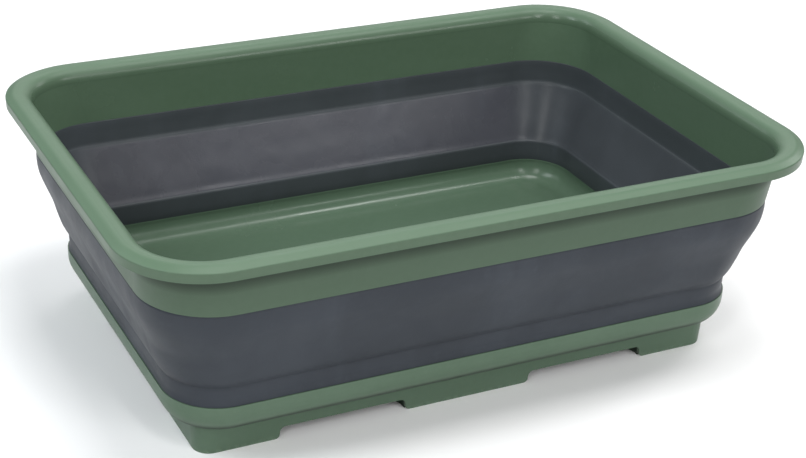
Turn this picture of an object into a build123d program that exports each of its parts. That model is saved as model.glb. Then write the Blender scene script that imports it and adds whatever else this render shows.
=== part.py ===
from build123d import *
import os

# Collapsible washing-up bowl: a rigid rim and a rigid base joined by a folding rubber wall.
#
# Millimetres, +Z up. The origin is the centre of the footprint, the long side runs along X and
# the front long side is at -Y. Each ring is placed by its inset, which is the horizontal distance
# inwards from the rim's outer edge, and its corner radius is a reference radius less that inset.
# The bowl is modelled open. It closes by the rim sinking over the base while the wall panel,
# which hangs between them, sinks half as far.

# Overall size
LENGTH = 380.0
WIDTH = 266.5
HEIGHT = 124.5

# Reference corner radii, at zero inset
FLANGE_CORNER = 45.0
RIM_CORNER = 51.5
BASE_CORNER = 56.5
FOOT_CORNER = 49.0

# Rim: a domed, turned-down flange with a skirt wall that the rubber is moulded onto
FLANGE_THICKNESS = 2.2
FLANGE_UNDERSIDE = HEIGHT - FLANGE_THICKNESS
FLANGE_ROOT = 116.0
FLANGE_EDGE = 122.4
FLANGE_EDGE_UNDERSIDE = 121.0
CREST = 4.2
CREST_UNDERSIDE = 4.7
LIP_BOTTOM = 117.4
LIP_DRAFT = 0.3
LIP_THICKNESS = 2.0
SKIRT_TOP_OUTSIDE = 12.4
SKIRT_TOP_INSIDE = 14.6
SKIRT_BOTTOM = 92.0
SKIRT_BOTTOM_OUTSIDE = 13.3
SKIRT_BOTTOM_INSIDE = 15.8
OUTER_EDGE_RADIUS = 0.9
CREST_RADIUS = 5.0
INNER_EDGE_RADIUS = 7.6
UNDER_FLANGE_RADIUS = 1.2

# Tongues that lock the rubber to the rim and to the base
TONGUE_DEPTH = 4.0
RIM_TONGUE_OUTSIDE = 14.1
RIM_TONGUE_INSIDE = 15.1
BASE_TONGUE_OUTSIDE = 28.8
BASE_TONGUE_INSIDE = 29.7

# Rubber wall: upper band, panel and lower band. The panel slides between the other two.
UPPER_FOLD = 79.0
UPPER_FOLD_OUTSIDE = 14.3
UPPER_FOLD_INSIDE = 15.9
PANEL_BOTTOM = 46.0
PANEL_SHOULDER = 76.5
PANEL_TOP = 80.5
PANEL_TOP_OUTSIDE = 16.2
PANEL_TOP_INSIDE = 18.4
PANEL_BOTTOM_OUTSIDE = 24.6
PANEL_BOTTOM_INSIDE = 26.5
LOWER_BAND_TOP = 46.5
LOWER_BAND_OUTSIDE = 28.2
LOWER_BAND_INSIDE = 30.3
LOWER_BAND_EDGE_RADIUS = 0.8

# Base: a shallow tray on a cored foot ring
BASE_OUTSIDE = 26.9
BASE_INSIDE = 29.3
BASE_TOP_OUTSIDE = 33.0
BASE_TOP_INSIDE = 29.5
FLOOR_UNDERSIDE = 15.4
FLOOR_THICKNESS = 2.2
FLOOR_TOP = FLOOR_UNDERSIDE + FLOOR_THICKNESS
FLOOR_EDGE = 42.0
TRAY_OUTER_RADIUS = 13.0
TRAY_INNER_RADIUS = 10.5

# Feet: a skirt and an inner wall, closed off into feet by webs beside each notch
FOOT_OUTSIDE = 40.0
FOOT_INSIDE = 55.2
FOOT_WALL = 2.2
FOOT_DRAFT = 3.5
FOOT_INNER_CORNER = 61.2
NOTCH_HEIGHT = 6.8
NOTCH_END_SLOPE = 0.8
NOTCH_CEILING_RADIUS = 3.0
NOTCH_TOE_RADIUS = 2.4
TOE_MARGIN = 6.0
WEB_CORNER_RADIUS = 9.0
LONG_NOTCH_LENGTH = 71.0
LONG_NOTCH_CENTRE = 71.5
SHORT_NOTCH_LENGTH = 100.0

# Each notch: its length, its side's turn about Z, its centre along that side, and the distance
# from the middle of the bowl out to the rim's edge on that side
NOTCHES = [
    (LONG_NOTCH_LENGTH, turn, centre, WIDTH / 2)
    for turn in (0, 180)
    for centre in (-LONG_NOTCH_CENTRE, LONG_NOTCH_CENTRE)
]
NOTCHES += [(SHORT_NOTCH_LENGTH, turn, 0, LENGTH / 2) for turn in (90, 270)]

SECTION = Plane(origin=(0, -WIDTH / 2, 0), x_dir=(0, 1, 0), z_dir=(1, 0, 0))
SMALL = 0.01


def ring_outline(inset, corner, mode=Mode.ADD):
    """Rounded rectangle at an inset from the rim's outer edge, in the open sketch."""
    RectangleRounded(LENGTH - 2 * inset, WIDTH - 2 * inset, corner - inset, mode=mode)


def notch_plane(turn, centre, reach, tilt=0):
    """Plane on the ground under the rim's edge at a notch.

    Untilted, it lies flat with its Y axis pointing inwards. Tilted by 90, it faces outwards.
    """
    return Plane(Location((0, 0, 0), (0, 0, turn)) * Location((centre, -reach, 0), (tilt, 0, 0)))


def ring_path(corner):
    """Closed path round the rim's outer edge, starting at the middle of the front long side."""
    half_length = LENGTH / 2
    half_width = WIDTH / 2
    with BuildLine() as path:
        start = Line((0, -half_width), (half_length - corner, -half_width))
        right_front = JernArc(start @ 1, start % 1, corner, 90)
        right = Line(right_front @ 1, (half_length, half_width - corner))
        right_back = JernArc(right @ 1, right % 1, corner, 90)
        back = Line(right_back @ 1, (corner - half_length, half_width))
        left_back = JernArc(back @ 1, back % 1, corner, 90)
        left = Line(left_back @ 1, (-half_length, corner - half_width))
        left_front = JernArc(left @ 1, left % 1, corner, 90)
        Line(left_front @ 1, start @ 0)
    return path.wire()


def corners_at(section, inset, height):
    """The corners of a ring's section at an inset and height, for filleting."""
    spot = Vector(inset, height)
    return [vertex for vertex in section.vertices() if (vertex.center() - spot).length < SMALL]


with BuildPart() as rim_frame:
    # Flange, with its turned-down lip outside and the root of the skirt inside
    with BuildSketch(SECTION) as flange_section:
        with BuildLine():
            Polyline(
                (LIP_DRAFT, LIP_BOTTOM),
                (0, FLANGE_EDGE),
                (CREST, HEIGHT),
                (SKIRT_TOP_INSIDE, HEIGHT),
                (SKIRT_TOP_INSIDE, FLANGE_ROOT),
                (SKIRT_TOP_OUTSIDE, FLANGE_ROOT),
                (SKIRT_TOP_OUTSIDE, FLANGE_UNDERSIDE),
                (CREST_UNDERSIDE, FLANGE_UNDERSIDE),
                (LIP_THICKNESS, FLANGE_EDGE_UNDERSIDE),
                (LIP_THICKNESS + LIP_DRAFT, LIP_BOTTOM),
                close=True,
            )
        make_face()
        for inset, height, radius in (
            (0, FLANGE_EDGE, OUTER_EDGE_RADIUS),
            (CREST, HEIGHT, CREST_RADIUS),
            (SKIRT_TOP_INSIDE, HEIGHT, INNER_EDGE_RADIUS),
            (SKIRT_TOP_OUTSIDE, FLANGE_UNDERSIDE, INNER_EDGE_RADIUS - FLANGE_THICKNESS),
            (CREST_UNDERSIDE, FLANGE_UNDERSIDE, CREST_RADIUS - FLANGE_THICKNESS),
            (LIP_THICKNESS, FLANGE_EDGE_UNDERSIDE, UNDER_FLANGE_RADIUS),
        ):
            fillet(corners_at(flange_section, inset, height), radius)
    sweep(path=ring_path(FLANGE_CORNER))

    # Skirt wall, whose corners open out towards its bottom edge
    with BuildSketch(Plane.XY.offset(SKIRT_BOTTOM)):
        ring_outline(SKIRT_BOTTOM_OUTSIDE, RIM_CORNER)
    with BuildSketch(Plane.XY.offset(FLANGE_ROOT)):
        ring_outline(SKIRT_TOP_OUTSIDE, FLANGE_CORNER)
    loft(ruled=True)
    with BuildSketch(Plane.XY.offset(SKIRT_BOTTOM)):
        ring_outline(SKIRT_BOTTOM_INSIDE, RIM_CORNER)
    with BuildSketch(Plane.XY.offset(FLANGE_ROOT)):
        ring_outline(SKIRT_TOP_INSIDE, FLANGE_CORNER)
    loft(ruled=True, mode=Mode.SUBTRACT)

    # Tongue that the rubber locks onto
    with BuildSketch(Plane.XY.offset(SKIRT_BOTTOM)):
        ring_outline(RIM_TONGUE_OUTSIDE, RIM_CORNER)
        ring_outline(RIM_TONGUE_INSIDE, RIM_CORNER, mode=Mode.SUBTRACT)
    extrude(amount=-TONGUE_DEPTH)

with BuildPart() as upper_fold_band:
    with BuildSketch(SECTION):
        with BuildLine():
            Polyline(
                (SKIRT_BOTTOM_OUTSIDE, SKIRT_BOTTOM),
                (RIM_TONGUE_OUTSIDE, SKIRT_BOTTOM),
                (RIM_TONGUE_OUTSIDE, SKIRT_BOTTOM - TONGUE_DEPTH),
                (RIM_TONGUE_INSIDE, SKIRT_BOTTOM - TONGUE_DEPTH),
                (RIM_TONGUE_INSIDE, SKIRT_BOTTOM),
                (SKIRT_BOTTOM_INSIDE, SKIRT_BOTTOM),
                (UPPER_FOLD_INSIDE, UPPER_FOLD),
                (UPPER_FOLD_OUTSIDE, UPPER_FOLD),
                close=True,
            )
        make_face()
    sweep(path=ring_path(RIM_CORNER))

with BuildPart() as wall_panel:
    with BuildSketch(Plane.XY.offset(PANEL_BOTTOM)):
        ring_outline(PANEL_BOTTOM_OUTSIDE, BASE_CORNER)
    with BuildSketch(Plane.XY.offset(PANEL_SHOULDER)):
        ring_outline(PANEL_TOP_OUTSIDE, RIM_CORNER)
    loft(ruled=True)
    with BuildSketch(Plane.XY.offset(PANEL_SHOULDER)):
        ring_outline(PANEL_TOP_OUTSIDE, RIM_CORNER)
    extrude(amount=PANEL_TOP - PANEL_SHOULDER)
    with BuildSketch(Plane.XY.offset(PANEL_BOTTOM)):
        ring_outline(PANEL_BOTTOM_INSIDE, BASE_CORNER)
    with BuildSketch(Plane.XY.offset(PANEL_TOP)):
        ring_outline(PANEL_TOP_INSIDE, RIM_CORNER)
    loft(ruled=True, mode=Mode.SUBTRACT)

with BuildPart() as lower_fold_band:
    with BuildSketch(SECTION) as lower_section:
        with BuildLine():
            Polyline(
                (LOWER_BAND_OUTSIDE, BASE_TOP_OUTSIDE),
                (BASE_TONGUE_OUTSIDE, BASE_TOP_OUTSIDE),
                (BASE_TONGUE_OUTSIDE, BASE_TOP_OUTSIDE + TONGUE_DEPTH),
                (BASE_TONGUE_INSIDE, BASE_TOP_OUTSIDE + TONGUE_DEPTH),
                (BASE_TONGUE_INSIDE, BASE_TOP_INSIDE),
                (LOWER_BAND_INSIDE, BASE_TOP_INSIDE),
                (LOWER_BAND_INSIDE, LOWER_BAND_TOP),
                (LOWER_BAND_OUTSIDE, LOWER_BAND_TOP),
                close=True,
            )
        make_face()
        top_corners = lower_section.vertices().group_by(Axis.Y)[-1]
        fillet(top_corners, LOWER_BAND_EDGE_RADIUS)
    sweep(path=ring_path(BASE_CORNER))

with BuildPart() as base_tray:
    # Tray wall, rounded into the floor, with its stepped top edge and tongue
    with BuildSketch(SECTION) as tray_section:
        with BuildLine():
            Polyline(
                (BASE_OUTSIDE, BASE_TOP_OUTSIDE),
                (BASE_OUTSIDE, FLOOR_UNDERSIDE),
                (FLOOR_EDGE, FLOOR_UNDERSIDE),
                (FLOOR_EDGE, FLOOR_TOP),
                (BASE_INSIDE, FLOOR_TOP),
                (BASE_INSIDE, BASE_TOP_INSIDE),
                (BASE_TONGUE_INSIDE, BASE_TOP_INSIDE),
                (BASE_TONGUE_INSIDE, BASE_TOP_OUTSIDE + TONGUE_DEPTH),
                (BASE_TONGUE_OUTSIDE, BASE_TOP_OUTSIDE + TONGUE_DEPTH),
                (BASE_TONGUE_OUTSIDE, BASE_TOP_OUTSIDE),
                close=True,
            )
        make_face()
        fillet(corners_at(tray_section, BASE_OUTSIDE, FLOOR_UNDERSIDE), TRAY_OUTER_RADIUS)
        fillet(corners_at(tray_section, BASE_INSIDE, FLOOR_TOP), TRAY_INNER_RADIUS)
    sweep(path=ring_path(BASE_CORNER))

    # Floor inside the swept wall
    with BuildSketch(Plane.XY.offset(FLOOR_UNDERSIDE)):
        ring_outline(FLOOR_EDGE, BASE_CORNER)
    extrude(amount=FLOOR_THICKNESS)

    # Foot ring, still solid, drafted so that it widens towards the tray
    with BuildSketch():
        ring_outline(FOOT_OUTSIDE, FOOT_CORNER)
    extrude(amount=FLOOR_UNDERSIDE, taper=-FOOT_DRAFT)
    with BuildSketch():
        ring_outline(FOOT_INSIDE, FOOT_INNER_CORNER)
    extrude(amount=FLOOR_UNDERSIDE, mode=Mode.SUBTRACT)

    # Cores that leave each foot hollow underneath, with a web at each of its ends
    with BuildSketch():
        ring_outline(FOOT_OUTSIDE + FOOT_WALL, FOOT_CORNER)
        ring_outline(FOOT_INSIDE - FOOT_WALL, FOOT_INNER_CORNER, mode=Mode.SUBTRACT)
        for length, *place in NOTCHES:
            with Locations(notch_plane(*place)):
                Rectangle(
                    length + 2 * FOOT_WALL,
                    FOOT_INSIDE,
                    align=(Align.CENTER, Align.MIN),
                    mode=Mode.SUBTRACT,
                )
    extrude(amount=FLOOR_UNDERSIDE, mode=Mode.SUBTRACT)

    for length, *place in NOTCHES:
        # Recess behind the skirt, rounded where the webs meet the inner wall
        with BuildSketch(notch_plane(*place)) as recess:
            with Locations((0, FOOT_OUTSIDE + FOOT_WALL)):
                Rectangle(
                    length,
                    FOOT_INSIDE - FOOT_OUTSIDE - 2 * FOOT_WALL,
                    align=(Align.CENTER, Align.MIN),
                )
            fillet(recess.vertices().group_by(Axis.Y)[-1], WEB_CORNER_RADIUS)
        extrude(amount=FLOOR_UNDERSIDE, mode=Mode.SUBTRACT)

        # Notch through the skirt, rounded at its ceiling and at the toes of the feet
        with BuildSketch(notch_plane(*place, tilt=90)) as notch:
            with BuildLine():
                right_half = Polyline(
                    (0, NOTCH_HEIGHT),
                    (length / 2 - NOTCH_END_SLOPE, NOTCH_HEIGHT),
                    (length / 2, 0),
                    (length / 2 + TOE_MARGIN, 0),
                    (length / 2 + TOE_MARGIN, -TOE_MARGIN),
                    (0, -TOE_MARGIN),
                )
                mirror(right_half, about=Plane.YZ)
            make_face()
            fillet(notch.vertices().group_by(Axis.Y)[-1], NOTCH_CEILING_RADIUS)
            fillet(notch.vertices().group_by(Axis.Y)[1].sort_by(Axis.X)[1:-1], NOTCH_TOE_RADIUS)
        extrude(amount=-FOOT_OUTSIDE - FOOT_WALL, mode=Mode.SUBTRACT)

pieces = {
    "rim_frame": rim_frame,
    "upper_fold_band": upper_fold_band,
    "wall_panel": wall_panel,
    "lower_fold_band": lower_fold_band,
    "base_tray": base_tray,
}
os.makedirs("parts", exist_ok=True)
for name, piece in pieces.items():
    piece.part.label = name
    export_step(piece.part, f"parts/{name}.step")
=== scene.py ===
import math

import bmesh
import bpy
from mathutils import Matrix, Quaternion, Vector


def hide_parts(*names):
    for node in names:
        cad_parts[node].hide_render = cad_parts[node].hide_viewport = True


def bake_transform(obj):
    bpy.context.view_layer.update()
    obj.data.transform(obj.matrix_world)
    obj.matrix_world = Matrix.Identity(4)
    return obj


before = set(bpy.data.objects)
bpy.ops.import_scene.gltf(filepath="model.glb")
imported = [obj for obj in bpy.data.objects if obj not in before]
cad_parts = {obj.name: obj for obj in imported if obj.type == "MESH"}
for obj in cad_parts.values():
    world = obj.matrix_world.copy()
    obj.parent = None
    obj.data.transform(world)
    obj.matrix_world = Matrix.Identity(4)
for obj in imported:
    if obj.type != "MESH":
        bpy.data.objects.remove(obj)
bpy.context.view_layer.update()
scene = bpy.context.scene
scene.view_settings.view_transform = "Standard"

MM = 0.001
# The rim's outer rounded rectangle, which every inset is measured inwards from
HALF_LENGTH = 190 * MM
HALF_WIDTH = 133.25 * MM
RIM_CORNER = 51.5 * MM

# ---------------------------------------------------------------------------
# Camera, at the reference view: azimuth 0 looks along +Y, angles in degrees
# ---------------------------------------------------------------------------
CAMERA_AZIMUTH = -26.18
CAMERA_ELEVATION = 26.41
CAMERA_ROLL = 2.2
CAMERA_DISTANCE = 0.95975
CAMERA_TARGET = Vector((-0.01515, 0.0, 0.06222))
CAMERA_LENS = 78.04
CAMERA_SHIFT = (0.0413, -0.0105)

camera_data = bpy.data.cameras.new("camera")
camera = bpy.data.objects.new("camera", camera_data)
scene.collection.objects.link(camera)
scene.camera = camera
azimuth = math.radians(CAMERA_AZIMUTH)
elevation = math.radians(CAMERA_ELEVATION)
backwards = Vector(
    (
        math.sin(azimuth) * math.cos(elevation),
        -math.cos(azimuth) * math.cos(elevation),
        math.sin(elevation),
    )
)
camera.rotation_mode = "QUATERNION"
camera.location = CAMERA_TARGET + backwards * CAMERA_DISTANCE
camera.rotation_quaternion = (-backwards).to_track_quat("-Z", "Y") @ Quaternion(
    (0, 0, 1), math.radians(CAMERA_ROLL)
)
camera_data.sensor_width = 36.0
camera_data.lens = CAMERA_LENS
camera_data.shift_x, camera_data.shift_y = CAMERA_SHIFT
camera_data.clip_start = 0.01
camera_data.clip_end = 50.0


# ---------------------------------------------------------------------------
# Material helpers
# ---------------------------------------------------------------------------
class Graph:
    """A material's node tree, with short calls for the nodes that the materials share."""

    def __init__(self, name, place_attribute=None):
        self.material = bpy.data.materials.new(name)
        self.material.use_nodes = True
        self.tree = self.material.node_tree
        self.shader = self.tree.nodes["Principled BSDF"]
        if place_attribute:
            node = self.add("ShaderNodeAttribute", attribute_name=place_attribute)
            self.place = node.outputs["Vector"]
        else:
            self.place = self.add("ShaderNodeTexCoord").outputs["Object"]

    def add(self, kind, **settings):
        node = self.tree.nodes.new(kind)
        for key, value in settings.items():
            setattr(node, key, value)
        return node

    def feed(self, node, key, value):
        """Sets an input to a number or colour, or links it to another node's output."""
        socket = node.inputs[key]
        if isinstance(value, bpy.types.NodeSocket):
            self.tree.links.new(value, socket)
        else:
            socket.default_value = value

    def stretched(self, scale, offset=(0.0, 0.0, 0.0)):
        """The surface's place, scaled by a different amount along each axis."""
        node = self.add("ShaderNodeMapping")
        self.feed(node, "Vector", self.place)
        self.feed(node, "Scale", scale)
        self.feed(node, "Location", offset)
        return node.outputs["Vector"]

    def noise(self, scale, detail=3.0, roughness=0.55, place=None, distortion=0.0):
        node = self.add("ShaderNodeTexNoise")
        self.feed(node, "Vector", place or self.place)
        self.feed(node, "Scale", scale)
        self.feed(node, "Detail", detail)
        self.feed(node, "Roughness", roughness)
        self.feed(node, "Distortion", distortion)
        return node.outputs["Fac"]

    def ramp(self, value, low, high, to_low=0.0, to_high=1.0, smooth=True):
        """value from low to high becomes to_low to to_high, held beyond both ends."""
        node = self.add(
            "ShaderNodeMapRange", interpolation_type="SMOOTHSTEP" if smooth else "LINEAR"
        )
        for key, number in zip(
            ("From Min", "From Max", "To Min", "To Max"), (low, high, to_low, to_high)
        ):
            self.feed(node, key, number)
        self.feed(node, "Value", value)
        return node.outputs["Result"]

    def maths(self, operation, first, second=0.0):
        node = self.add("ShaderNodeMath", operation=operation)
        self.feed(node, 0, first)
        self.feed(node, 1, second)
        return node.outputs["Value"]

    def mix(self, factor, first, second, blend="MIX"):
        """Colours first and second, mixed by factor."""
        node = self.add("ShaderNodeMix", data_type="RGBA", blend_type=blend)
        self.feed(node, 0, factor)
        self.feed(node, 6, first)
        self.feed(node, 7, second)
        return node.outputs[2]

    def height(self):
        node = self.add("ShaderNodeSeparateXYZ")
        self.feed(node, 0, self.place)
        return node.outputs["Z"]

    def inset(self):
        """How far in from the rim's outer rounded rectangle the surface is."""
        parts = self.add("ShaderNodeSeparateXYZ")
        self.feed(parts, 0, self.place)
        x, y = (
            self.maths("SUBTRACT", self.maths("ABSOLUTE", parts.outputs[axis]), half - RIM_CORNER)
            for axis, half in (("X", HALF_LENGTH), ("Y", HALF_WIDTH))
        )
        past = [self.maths("MAXIMUM", value, 0.0) for value in (x, y)]
        squares = [self.maths("MULTIPLY", value, value) for value in past]
        from_corner = self.maths("SQRT", self.maths("ADD", *squares))
        from_side = self.maths("MINIMUM", self.maths("MAXIMUM", x, y), 0.0)
        return self.maths("SUBTRACT", RIM_CORNER, self.maths("ADD", from_corner, from_side))

    def upwards(self):
        """How far the surface faces up: 1 is level, 0 upright and -1 an underside."""
        parts = self.add("ShaderNodeSeparateXYZ")
        self.feed(parts, 0, self.add("ShaderNodeNewGeometry").outputs["Normal"])
        return parts.outputs["Z"]

    def facing_out(self):
        """1 on faces that look away from the bowl's middle and 0 on those that look in."""
        node = self.add("ShaderNodeVectorMath", operation="DOT_PRODUCT")
        self.feed(node, 0, self.add("ShaderNodeNewGeometry").outputs["Normal"])
        self.feed(node, 1, self.stretched((1.0, 1.0, 0.0)))
        return self.ramp(node.outputs["Value"], 0.0, 0.03)

    def bump(self, height, distance, strength=1.0, under=None):
        node = self.add("ShaderNodeBump")
        self.feed(node, "Height", height)
        self.feed(node, "Distance", distance)
        self.feed(node, "Strength", strength)
        if under is not None:
            self.feed(node, "Normal", under)
        return node.outputs["Normal"]


def colour(red, green, blue):
    return (red, green, blue, 1.0)


# Linear base colours
RIM_PLASTIC = (colour(0.069, 0.113, 0.071), colour(0.080, 0.127, 0.083))
BASE_PLASTIC = (colour(0.078, 0.126, 0.083), colour(0.090, 0.142, 0.096))
PLASTIC_SCUFF = colour(0.150, 0.210, 0.152)
# Paler tone painted on the upper faces: painted light
PLASTIC_PAINTED_TOP_LIGHT = colour(0.096, 0.156, 0.101)
# Dark tone that all painted shade on the plastic mixes towards
PLASTIC_PAINTED_SHADE = colour(0.016, 0.030, 0.018)
RUBBER = colour(0.026, 0.031, 0.039)
RUBBER_LIGHT = colour(0.033, 0.039, 0.049)
# Paler copies of the same rubber for its inner folds: painted light
INNER_FOLD_PAINTED_LIGHT = colour(0.041, 0.048, 0.053)
INNER_FOLD_PAINTED_LIGHT_PALE = colour(0.048, 0.056, 0.062)
RUBBER_BLOOM = colour(0.068, 0.078, 0.094)
# Dark tone for the painted shade along the rubber's creases
RUBBER_CREASE_SHADE = colour(0.016, 0.019, 0.022)
FLOOR_PAPER = (colour(0.9, 0.9, 0.9), colour(0.93, 0.93, 0.93))
# Paler rubber tone for the inner panel: a painted reflection of the studio light
INNER_PANEL_PAINTED_REFLECTION = colour(0.054, 0.056, 0.067)
INNER_PANEL_PAINTED_REFLECTION_PALE = colour(0.064, 0.066, 0.079)


def plastic(name, tones, worn_below=None, painted_top_light=0.0, skirt=None, recess=None):
    """Satin moulded polypropylene: faint flow marks, spark-eroded grain and fine scuffs.

    The top-light amount paints the upper faces paler, which is painted light, and also makes them
    duller.
    Painted shade darkens the undersides, the upright outer faces below a skirt's end, the top of a
    skirt (low, high, end) that hangs below a flange, and a recess (height, inset) behind the feet.
    """
    g = Graph(name)
    up = g.upwards()
    flow = g.ramp(g.noise(9.0, 4.0, place=g.stretched((0.6, 0.6, 2.4)), distortion=0.8), 0.36, 0.66)
    mottle = g.ramp(g.noise(260.0, 2.0), 0.35, 0.7)
    tone = g.mix(g.maths("MULTIPLY", flow, 0.55), *tones)
    tone = g.mix(g.maths("MULTIPLY", mottle, 0.3), tone, tones[1])
    # Painted light: the upper faces are mixed towards a paler tone.
    if painted_top_light:
        patchy = g.ramp(flow, 0.0, 1.0, 0.9 * painted_top_light, painted_top_light)
        tone = g.mix(g.maths("MULTIPLY", g.ramp(up, 0.3, 0.95), patchy), tone, PLASTIC_PAINTED_TOP_LIGHT)
    streaks = g.noise(75.0, 5.0, 0.7, place=g.stretched((0.12, 1.0, 1.0)), distortion=0.4)
    scratch = g.ramp(streaks, 0.63, 0.72)
    patches = g.ramp(g.noise(16.0, 3.0), 0.5, 0.66)
    scuff = g.maths("MULTIPLY", scratch, patches)
    tone = g.mix(g.maths("MULTIPLY", scuff, 0.18), tone, PLASTIC_SCUFF)
    if worn_below is not None:
        worn = g.ramp(g.height(), 0.0, worn_below, 1.0, 0.0)
        rubbed = g.maths("MULTIPLY", worn, g.ramp(g.noise(420.0, 4.0, 0.7), 0.42, 0.62))
        tone = g.mix(g.maths("MULTIPLY", rubbed, 0.5), tone, PLASTIC_SCUFF)
    # Painted shade: faces turned downwards are darkened.
    painted_shade = g.ramp(up, -0.7, -0.4, 0.85, 0.0)
    upright_outside = g.maths("MULTIPLY", g.facing_out(), g.ramp(up, 0.35, 0.75, 1.0, 0.0))
    if skirt is not None:
        low, high, end = skirt
        # Painted shade: upright outer faces below the lip's end are darkened, those of the lip
        # barely.
        painted_side_shade = g.ramp(g.height(), end - 3 * MM, end - 2 * MM, 0.27, 0.03)
        painted_shade = g.maths("MAXIMUM", painted_shade, g.maths("MULTIPLY", upright_outside, painted_side_shade))
        # Painted shadow: the top of the skirt, under the flange's lip, is darkened.
        corner = g.maths("MULTIPLY", g.ramp(g.height(), low, high), g.facing_out())
        below = g.ramp(g.height(), end, end + 1 * MM, 1.0, 0.0)
        behind = g.maths("MULTIPLY", g.ramp(g.inset(), 4 * MM, 5 * MM), below)
        shaded = g.maths("MULTIPLY", g.maths("MULTIPLY", corner, behind), 0.9)
        painted_shade = g.maths("MAXIMUM", painted_shade, shaded)
    # Painted shade: the hollow behind the feet, seen through the notches, is darkened almost to the
    # shade tone.
    if recess is not None:
        high, inset = recess
        behind = g.ramp(g.inset(), inset, inset + 1 * MM)
        below = g.ramp(g.height(), high, high + 0.5 * MM, 1.0, 0.0)
        painted_recess_shade = g.maths("MULTIPLY", g.maths("MULTIPLY", behind, below), 0.95)
        painted_shade = g.maths("MAXIMUM", painted_shade, painted_recess_shade)
    # All the painted shade is mixed into the colour here.
    tone = g.mix(painted_shade, tone, PLASTIC_PAINTED_SHADE)
    g.feed(g.shader, "Base Color", tone)
    polish = g.ramp(g.noise(26.0, 4.0, 0.6), 0.3, 0.72, 0.19, 0.28)
    rough = g.maths("ADD", polish, g.maths("MULTIPLY", scuff, 0.14))
    rough = g.maths("ADD", rough, g.maths("MULTIPLY", upright_outside, 0.16))
    if painted_top_light:
        rough = g.maths("ADD", rough, g.maths("MULTIPLY", g.ramp(up, 0.3, 0.8), 0.16))
    g.feed(g.shader, "Roughness", g.maths("ADD", rough, g.maths("MULTIPLY", painted_shade, 0.2)))
    g.feed(g.shader, "IOR", 1.49)
    g.feed(g.shader, "Specular IOR Level", 0.28)
    sink = g.bump(g.noise(22.0, 2.0), 0.00035)
    grain = g.bump(g.noise(1500.0, 2.0, 0.6), 0.00003, 0.8, under=sink)
    g.feed(g.shader, "Normal", grain)
    return g.material


def rubber(name):
    """Satin thermoplastic rubber: cloudy handling marks, upright drag marks and a soft grain, with
    painted light paling its inner folds and inner panel and painted shade along its creases.
    """
    g = Graph(name, "rest_place")
    cloud = g.ramp(g.noise(14.0, 5.0, 0.62, distortion=0.6), 0.36, 0.68)
    inner = g.add("ShaderNodeAttribute", attribute_name="inner").outputs["Fac"]
    parts = g.add("ShaderNodeSeparateXYZ")
    g.feed(parts, 0, g.place)
    # Painted reflection: the inner panel is paler, fading out towards the short ends.
    along = g.ramp(g.maths("ABSOLUTE", parts.outputs["X"]), 128 * MM, 152 * MM, 1.0, 0.25)
    panel = g.maths("MULTIPLY", g.ramp(inner, 0.5, 1.0), along)
    inside = g.ramp(inner, 0.0, 0.5)
    outer_tone = g.mix(cloud, RUBBER, RUBBER_LIGHT)
    # Painted light: the inner faces take a paler copy of the rubber.
    inside_painted_light_tone = g.mix(cloud, INNER_FOLD_PAINTED_LIGHT, INNER_FOLD_PAINTED_LIGHT_PALE)
    tone = g.mix(inside, outer_tone, inside_painted_light_tone)
    tone = g.mix(panel, tone, g.mix(cloud, INNER_PANEL_PAINTED_REFLECTION, INNER_PANEL_PAINTED_REFLECTION_PALE))
    drag = g.ramp(
        g.noise(30.0, 4.0, 0.6, place=g.stretched((1.0, 1.0, 0.16)), distortion=0.25), 0.52, 0.74
    )
    spots = g.ramp(g.noise(120.0, 3.0, 0.65), 0.60, 0.72)
    bloom = g.maths("ADD", g.maths("MULTIPLY", drag, 0.22), g.maths("MULTIPLY", spots, 0.10))
    tone = g.mix(bloom, tone, RUBBER_BLOOM)
    # Painted shade: the rubber is darkened along the joints of its profile, where it creases.
    crease = g.add("ShaderNodeAttribute", attribute_name="crease").outputs["Fac"]
    tone = g.mix(g.maths("MULTIPLY", crease, 0.12), tone, RUBBER_CREASE_SHADE)
    g.feed(g.shader, "Base Color", tone)
    polish = g.ramp(g.noise(34.0, 5.0, 0.65, distortion=0.5), 0.3, 0.7, 0.44, 0.56)
    rough = g.maths("ADD", polish, g.maths("MULTIPLY", bloom, 0.2))
    rough = g.maths("SUBTRACT", rough, g.maths("MULTIPLY", inside, 0.10))
    g.feed(g.shader, "Roughness", g.maths("SUBTRACT", rough, g.maths("MULTIPLY", panel, 0.15)))
    g.feed(g.shader, "IOR", 1.5)
    g.feed(g.shader, "Specular IOR Level", 0.22)
    g.feed(g.shader, "Sheen Weight", 0.02)
    g.feed(g.shader, "Sheen Roughness", 0.45)
    soft = g.bump(g.noise(28.0, 2.0), 0.0005)
    grain = g.bump(g.noise(1100.0, 2.0, 0.6), 0.00004, 0.8, under=soft)
    g.feed(g.shader, "Normal", grain)
    return g.material


# ---------------------------------------------------------------------------
# Rings: rounded rectangles at an inset from the rim's outer edge
# ---------------------------------------------------------------------------
CORNER_STEPS = 24
LONG_STEPS = 34
SHORT_STEPS = 20


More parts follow.
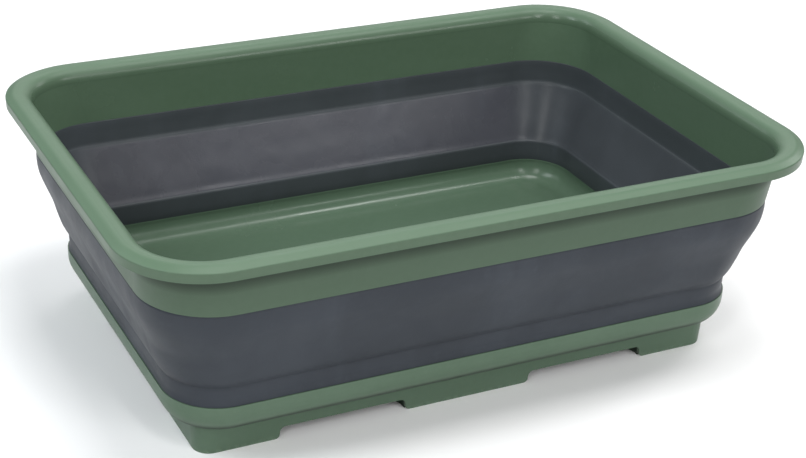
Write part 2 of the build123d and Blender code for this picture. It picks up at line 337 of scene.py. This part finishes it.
def ring(inset, height, reference_corner):
    """Points of a rounded rectangle, anticlockwise, starting on its front side."""
    radius = reference_corner - inset
    across, along = HALF_LENGTH - inset, HALF_WIDTH - inset
    points = []
    corners = (
        ((across - radius), -(along - radius), -90, LONG_STEPS),
        ((across - radius), (along - radius), 0, SHORT_STEPS),
        (-(across - radius), (along - radius), 90, LONG_STEPS),
        (-(across - radius), -(along - radius), 180, SHORT_STEPS),
    )
    for index, (x, y, start, straight_steps) in enumerate(corners):
        previous = corners[index - 1]
        begin = Vector((previous[0], previous[1])) + radius * unit(previous[2] + 90)
        end = Vector((x, y)) + radius * unit(start)
        points += [begin.lerp(end, step / straight_steps) for step in range(1, straight_steps)]
        points += [
            Vector((x, y)) + radius * unit(start + 90 * step / CORNER_STEPS)
            for step in range(CORNER_STEPS + 1)
        ]
    return [Vector((p.x, p.y, height)) for p in points]


def unit(degrees):
    angle = math.radians(degrees)
    return Vector((math.cos(angle), math.sin(angle)))


def smoothstep(value, low, high):
    t = min(1.0, max(0.0, (value - low) / (high - low)))
    return t * t * (3 - 2 * t)


def spline(points, steps):
    """A centripetal Catmull-Rom curve through points, each span cut into steps."""
    ends = [points[0] * 2 - points[1], *points, points[-1] * 2 - points[-2]]
    made = []
    for i in range(1, len(ends) - 2):
        p0, p1, p2, p3 = ends[i - 1 : i + 3]
        t0 = 0.0
        t1 = (p1 - p0).length ** 0.5
        t2 = t1 + (p2 - p1).length ** 0.5
        t3 = t2 + (p3 - p2).length ** 0.5
        for step in range(steps):
            t = t1 + (t2 - t1) * step / steps
            a1 = p0 * ((t1 - t) / (t1 - t0)) + p1 * ((t - t0) / (t1 - t0))
            a2 = p1 * ((t2 - t) / (t2 - t1)) + p2 * ((t - t1) / (t2 - t1))
            a3 = p2 * ((t3 - t) / (t3 - t2)) + p3 * ((t - t2) / (t3 - t2))
            b1 = a1 * ((t2 - t) / (t2 - t0)) + a2 * ((t - t0) / (t2 - t0))
            b2 = a2 * ((t3 - t) / (t3 - t1)) + a3 * ((t - t1) / (t3 - t1))
            made.append(b1 * ((t2 - t) / (t2 - t1)) + b2 * ((t - t1) / (t2 - t1)))
    made.append(points[-1])
    return made


# ---------------------------------------------------------------------------
# Rubber wall: one moulding from the rim's skirt down to the base tray
# ---------------------------------------------------------------------------
# Outer and inner faces as (inset, height) in millimetres, each a list of smooth runs that meet
# at a crease
WALL_OUTSIDE = [
    [
        (13.45, 92.0), (13.4, 86.5), (14.1, 81.3), (15.4, 77.0), (17.3, 72.0),
        (20.3, 64.0), (22.3, 56.0), (24.2, 49.9), (25.6, 47.0), (27.3, 44.6),
    ],
    [(27.3, 44.6), (28.0, 43.5)],
    [(28.0, 43.5), (27.8, 42.3), (27.9, 39.0), (28.1, 36.0), (27.6, 33.6), (27.5, 33.0)],
]
WALL_INSIDE = [
    [(29.35, 29.5), (29.75, 30.6), (30.2, 33.4), (30.35, 38.0), (30.3, 43.3)],
    [(30.3, 43.3), (29.5, 44.0)],
    [
        (29.5, 44.0), (28.6, 45.9), (26.9, 50.6), (24.5, 57.3),
        (22.0, 64.2), (19.6, 71.0), (17.3, 77.5),
    ],
    [(17.3, 77.5), (16.85, 78.0)],
    [(16.85, 78.0), (16.3, 85.0), (16.05, 89.5), (15.75, 92.0)],
]
# How much each run belongs to the inside: 0 outside, 0.5 on the inner folds, 1 on the inner panel
# These values also pick the painted-light tones of the inner folds and the inner panel.
OUTSIDE_TONES = (0.0, 0.0, 0.0)
INSIDE_TONES = (0.5, 0.5, 1.0, 0.5, 0.5)
RUN_STEPS = 4
# Reference corner radii at the top and bottom, in millimetres, and the heights between which
# one turns into the other
TOP_CORNER = 51.5
BOTTOM_CORNER = 56.5
CORNER_CHANGE = (44.0, 78.0)
CREASE_REACH = 1.6


def profile(runs, tones):
    """(point, crease, inner) along a face, where crease is 1 at the joints of its runs."""
    joints = [Vector(run[0]) for run in runs[1:]]
    made = []
    for index, run in enumerate(runs):
        for point in spline([Vector(p) for p in run], RUN_STEPS):
            if made and (made[-1][0] - point).length < 1e-6:
                made.pop()
            near = min((point - joint).length for joint in joints)
            crease = max(0.0, 1.0 - near / CREASE_REACH)
            made.append((point, crease, tones[index]))
    return made


def wall():
    """The closed rubber ring, with its rest place and creases kept as attributes."""
    section = profile(WALL_OUTSIDE, OUTSIDE_TONES) + profile(WALL_INSIDE, INSIDE_TONES)
    mesh = bpy.data.meshes.new("rubber_wall")
    bm = bmesh.new()
    rows, creases, inners = [], [], []
    for point, crease, inner in section:
        corner = BOTTOM_CORNER + (TOP_CORNER - BOTTOM_CORNER) * smoothstep(point.y, *CORNER_CHANGE)
        places = ring(point.x * MM, point.y * MM, corner * MM)
        rows.append([bm.verts.new(place) for place in places])
        creases += [crease] * len(places)
        inners += [inner] * len(places)
    for row, after in zip(rows, rows[1:] + rows[:1]):
        for i in range(len(row)):
            k = (i + 1) % len(row)
            bm.faces.new((row[i], after[i], after[k], row[k]))
    bmesh.ops.recalc_face_normals(bm, faces=bm.faces)
    for face in bm.faces:
        face.smooth = True
    bm.to_mesh(mesh)
    bm.free()
    place = mesh.attributes.new("rest_place", "FLOAT_VECTOR", "POINT")
    place.data.foreach_set("vector", [x for v in mesh.vertices for x in v.co])
    mesh.attributes.new("crease", "FLOAT", "POINT").data.foreach_set("value", creases)
    mesh.attributes.new("inner", "FLOAT", "POINT").data.foreach_set("value", inners)
    piece = bpy.data.objects.new("rubber_wall", mesh)
    scene.collection.objects.link(piece)
    return piece


rubber_wall = wall()
rubber_wall.data.materials.append(rubber("wall_rubber_satin"))
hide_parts("upper_fold_band", "wall_panel", "lower_fold_band")
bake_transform(rubber_wall)

# Rigid mouldings keep their CAD shape. Heights and insets where their wear and painted shade
# change:
# Heights of the painted shadow under the rim's lip: start, full strength and the lip's end
SKIRT_SHADE = (99 * MM, 111.5 * MM, 119 * MM)
FOOT_WEAR = 3 * MM
# Height and inset of the painted shade in the hollow behind the feet
FOOT_RECESS = (15.2 * MM, 41.5 * MM)
for node, finish in (
    ("rim_frame", plastic("rim_plastic_satin", RIM_PLASTIC, painted_top_light=1.0, skirt=SKIRT_SHADE)),
    (
        "base_tray",
        plastic("base_plastic_satin", BASE_PLASTIC, worn_below=FOOT_WEAR, recess=FOOT_RECESS),
    ),
):
    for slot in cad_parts[node].material_slots:
        slot.link = "OBJECT"
        slot.material = finish


# ---------------------------------------------------------------------------
# Floor and studio light
# ---------------------------------------------------------------------------
def floor():
    g = Graph("floor_paper")
    g.feed(g.shader, "Base Color", g.mix(g.noise(3.0, 3.0), *FLOOR_PAPER))
    g.feed(g.shader, "Roughness", g.ramp(g.noise(400.0, 2.0), 0.3, 0.7, 0.8, 0.9))
    mesh = bpy.data.meshes.new("floor")
    bm = bmesh.new()
    bmesh.ops.create_circle(bm, cap_ends=True, radius=8.0, segments=96)
    bm.to_mesh(mesh)
    bm.free()
    piece = bpy.data.objects.new("floor", mesh)
    mesh.materials.append(g.material)
    scene.collection.objects.link(piece)


WHITE = (1.0, 1.0, 1.0)
COOL = (0.90, 0.96, 1.0)
LIGHT_DISTANCE = 1.8
LIGHT_AIM = Vector((0.0, 0.0, 0.06))


def softbox(name, azimuth_deg, elevation_deg, size, power, tint=WHITE):
    """An area light aimed at the bowl. Azimuth 0 stands in front and 90 on the right."""
    light = bpy.data.lights.new(name, "AREA")
    light.shape = "RECTANGLE"
    light.size, light.size_y = size
    light.energy = power
    light.color = tint
    lamp = bpy.data.objects.new(name, light)
    a, e = math.radians(azimuth_deg), math.radians(elevation_deg)
    out = Vector((math.sin(a) * math.cos(e), -math.cos(a) * math.cos(e), math.sin(e)))
    lamp.location = LIGHT_AIM + out * LIGHT_DISTANCE
    lamp.rotation_mode = "QUATERNION"
    lamp.rotation_quaternion = (-out).to_track_quat("-Z", "Y")
    scene.collection.objects.link(lamp)


floor()
softbox("light_front", 2, 36, (0.20, 1.2), 10.0)
softbox("light_front_left", -46, 36, (0.20, 1.2), 9.0)
softbox("light_top", 0, 84, (0.6, 0.6), 12.5)
softbox("light_front_right", 27, 22, (0.6, 0.4), 5.5)
softbox("light_right_top", 70, 64, (0.30, 0.30), 7.0)
softbox("light_right", 100, 30, (0.5, 0.8), 6.0)
softbox("light_left", -92, 42, (0.5, 0.8), 11.0, COOL)
softbox("light_back_left", -135, 35, (0.5, 0.8), 6.0, COOL)
softbox("light_back", 156, 25, (1.9, 0.8), 5.0)
softbox("light_back_right", 150, 55, (0.6, 0.6), 5.0)

world = bpy.data.worlds.new("studio")
world.use_nodes = True
backdrop = world.node_tree.nodes["Background"]
backdrop.inputs["Color"].default_value = colour(0.97, 0.985, 1.0)
backdrop.inputs["Strength"].default_value = 0.14
scene.world = world
